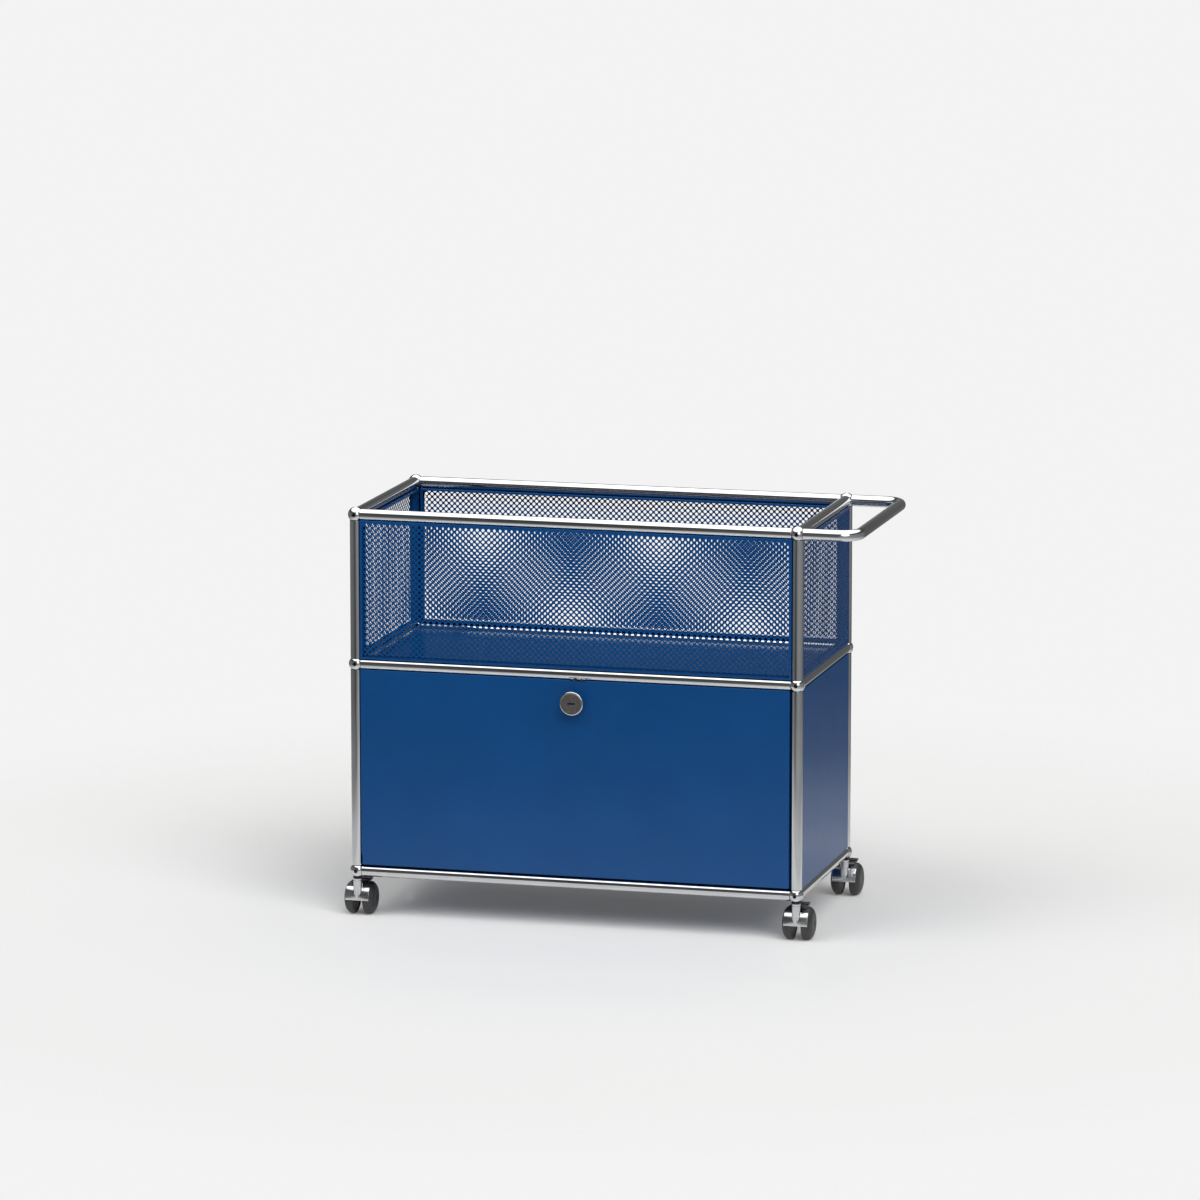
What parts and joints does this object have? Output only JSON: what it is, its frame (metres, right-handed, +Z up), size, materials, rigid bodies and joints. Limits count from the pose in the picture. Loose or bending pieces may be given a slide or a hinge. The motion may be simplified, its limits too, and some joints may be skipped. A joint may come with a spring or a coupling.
{
  "type": "media trolley",
  "caption": "Rolling media trolley of chromed tubes and balls with blue panels: open perforated basket above, lockable drop-down door below, push handle on one end.",
  "frame": {"origin": "on the floor, under the middle of the trolley's outer box", "axes": "+X to the end with the push handle, -Y to the door side, +Z up"},
  "size_m": [0.882, 0.425, 0.69],
  "materials": {
    "chrome": "polished",
    "blue_paint": "satin powder coat",
    "knob_metal": "brushed",
    "wheel_black": "satin",
    "lever_black": "satin"
  },
  "bodies": {
    "frame": {"ball_bottom_front_left": "chrome", "ball_bottom_front_right": "chrome", "ball_bottom_back_left": "chrome", "ball_bottom_back_right": "chrome", "ball_middle_front_left": "chrome", "ball_middle_front_right": "chrome", "ball_middle_back_left": "chrome", "ball_middle_back_right": "chrome", "ball_top_front_left": "chrome", "ball_top_front_right": "chrome", "ball_top_back_left": "chrome", "ball_top_back_right": "chrome", "rail_bottom_front": "chrome", "rail_bottom_back": "chrome", "rail_bottom_left": "chrome", "rail_bottom_right": "chrome", "rail_middle_front": "chrome", "rail_middle_back": "chrome", "rail_middle_left": "chrome", "rail_middle_right": "chrome", "rail_top_front": "chrome", "rail_top_back": "chrome", "rail_top_left": "chrome", "rail_top_right": "chrome", "post_lower_front_left": "chrome", "post_lower_front_right": "chrome", "post_lower_back_left": "chrome", "post_lower_back_right": "chrome", "post_upper_front_left": "chrome", "post_upper_front_right": "chrome", "post_upper_back_left": "chrome", "post_upper_back_right": "chrome", "push_handle": "chrome", "mesh_panel_front": "blue_paint", "mesh_panel_back": "blue_paint", "mesh_panel_left": "blue_paint", "mesh_panel_right": "blue_paint", "back_panel": "blue_paint", "side_panel_left": "blue_paint", "side_panel_right": "blue_paint", "tray_floor": "blue_paint", "base_panel": "blue_paint"},
    "door": {"door_panel": "blue_paint"},
    "lock": {"lock_knob": "knob_metal"},
    "caster_front_left": {"caster_front_left_housing": "chrome"},
    "caster_front_left_brake": {"caster_front_left_brake": "lever_black"},
    "caster_front_left_wheel_left": {"caster_front_left_wheel_left": "wheel_black"},
    "caster_front_left_wheel_right": {"caster_front_left_wheel_right": "wheel_black"},
    "caster_front_right": {"caster_front_right_housing": "chrome"},
    "caster_front_right_brake": {"caster_front_right_brake": "lever_black"},
    "caster_front_right_wheel_left": {"caster_front_right_wheel_left": "wheel_black"},
    "caster_front_right_wheel_right": {"caster_front_right_wheel_right": "wheel_black"},
    "caster_back_left": {"caster_back_left_housing": "chrome"},
    "caster_back_left_brake": {"caster_back_left_brake": "lever_black"},
    "caster_back_left_wheel_left": {"caster_back_left_wheel_left": "wheel_black"},
    "caster_back_left_wheel_right": {"caster_back_left_wheel_right": "wheel_black"},
    "caster_back_right": {"caster_back_right_housing": "chrome"},
    "caster_back_right_brake": {"caster_back_right_brake": "lever_black"},
    "caster_back_right_wheel_left": {"caster_back_right_wheel_left": "wheel_black"},
    "caster_back_right_wheel_right": {"caster_back_right_wheel_right": "wheel_black"}
  },
  "joints": [
    {"name": "door_hinge", "type": "hinge", "parent": "frame", "child": "door", "pos_m": [-0.0405, -0.1875, 0.102], "axis": [1, 0, 0], "range_deg": [0, 90]},
    {"name": "lock_turn", "type": "hinge", "parent": "door", "child": "lock", "pos_m": [-0.0405, -0.195, 0.383], "axis": [0, -1, 0], "range_deg": [0, 90]},
    {"name": "caster_front_left_swivel", "type": "hinge", "parent": "frame", "child": "caster_front_left", "pos_m": [-0.4155, -0.1875, 0.0655], "axis": [0, 0, 1], "continuous": true},
    {"name": "caster_front_left_wheel_left_spin", "type": "hinge", "parent": "caster_front_left", "child": "caster_front_left_wheel_left", "pos_m": [-0.4155, -0.165, 0.0275], "axis": [1, 0, 0], "continuous": true},
    {"name": "caster_front_left_wheel_right_spin", "type": "hinge", "parent": "caster_front_left", "child": "caster_front_left_wheel_right", "pos_m": [-0.4155, -0.165, 0.0275], "axis": [1, 0, 0], "continuous": true},
    {"name": "caster_front_left_brake_press", "type": "hinge", "parent": "caster_front_left", "child": "caster_front_left_brake", "pos_m": [-0.4155, -0.165, 0.0275], "axis": [-1, 0, 0], "range_deg": [0, 12]},
    {"name": "caster_front_right_swivel", "type": "hinge", "parent": "frame", "child": "caster_front_right", "pos_m": [0.3345, -0.1875, 0.0655], "axis": [0, 0, 1], "continuous": true},
    {"name": "caster_front_right_wheel_left_spin", "type": "hinge", "parent": "caster_front_right", "child": "caster_front_right_wheel_left", "pos_m": [0.3345, -0.165, 0.0275], "axis": [1, 0, 0], "continuous": true},
    {"name": "caster_front_right_wheel_right_spin", "type": "hinge", "parent": "caster_front_right", "child": "caster_front_right_wheel_right", "pos_m": [0.3345, -0.165, 0.0275], "axis": [1, 0, 0], "continuous": true},
    {"name": "caster_front_right_brake_press", "type": "hinge", "parent": "caster_front_right", "child": "caster_front_right_brake", "pos_m": [0.3345, -0.165, 0.0275], "axis": [-1, 0, 0], "range_deg": [0, 12]},
    {"name": "caster_back_left_swivel", "type": "hinge", "parent": "frame", "child": "caster_back_left", "pos_m": [-0.4155, 0.1625, 0.0655], "axis": [0, 0, 1], "continuous": true},
    {"name": "caster_back_left_wheel_left_spin", "type": "hinge", "parent": "caster_back_left", "child": "caster_back_left_wheel_left", "pos_m": [-0.4155, 0.185, 0.0275], "axis": [1, 0, 0], "continuous": true},
    {"name": "caster_back_left_wheel_right_spin", "type": "hinge", "parent": "caster_back_left", "child": "caster_back_left_wheel_right", "pos_m": [-0.4155, 0.185, 0.0275], "axis": [1, 0, 0], "continuous": true},
    {"name": "caster_back_left_brake_press", "type": "hinge", "parent": "caster_back_left", "child": "caster_back_left_brake", "pos_m": [-0.4155, 0.185, 0.0275], "axis": [-1, 0, 0], "range_deg": [0, 12]},
    {"name": "caster_back_right_swivel", "type": "hinge", "parent": "frame", "child": "caster_back_right", "pos_m": [0.3345, 0.1625, 0.0655], "axis": [0, 0, 1], "continuous": true},
    {"name": "caster_back_right_wheel_left_spin", "type": "hinge", "parent": "caster_back_right", "child": "caster_back_right_wheel_left", "pos_m": [0.3345, 0.185, 0.0275], "axis": [1, 0, 0], "continuous": true},
    {"name": "caster_back_right_wheel_right_spin", "type": "hinge", "parent": "caster_back_right", "child": "caster_back_right_wheel_right", "pos_m": [0.3345, 0.185, 0.0275], "axis": [1, 0, 0], "continuous": true},
    {"name": "caster_back_right_brake_press", "type": "hinge", "parent": "caster_back_right", "child": "caster_back_right_brake", "pos_m": [0.3345, 0.185, 0.0275], "axis": [-1, 0, 0], "range_deg": [0, 12]}
  ]
}
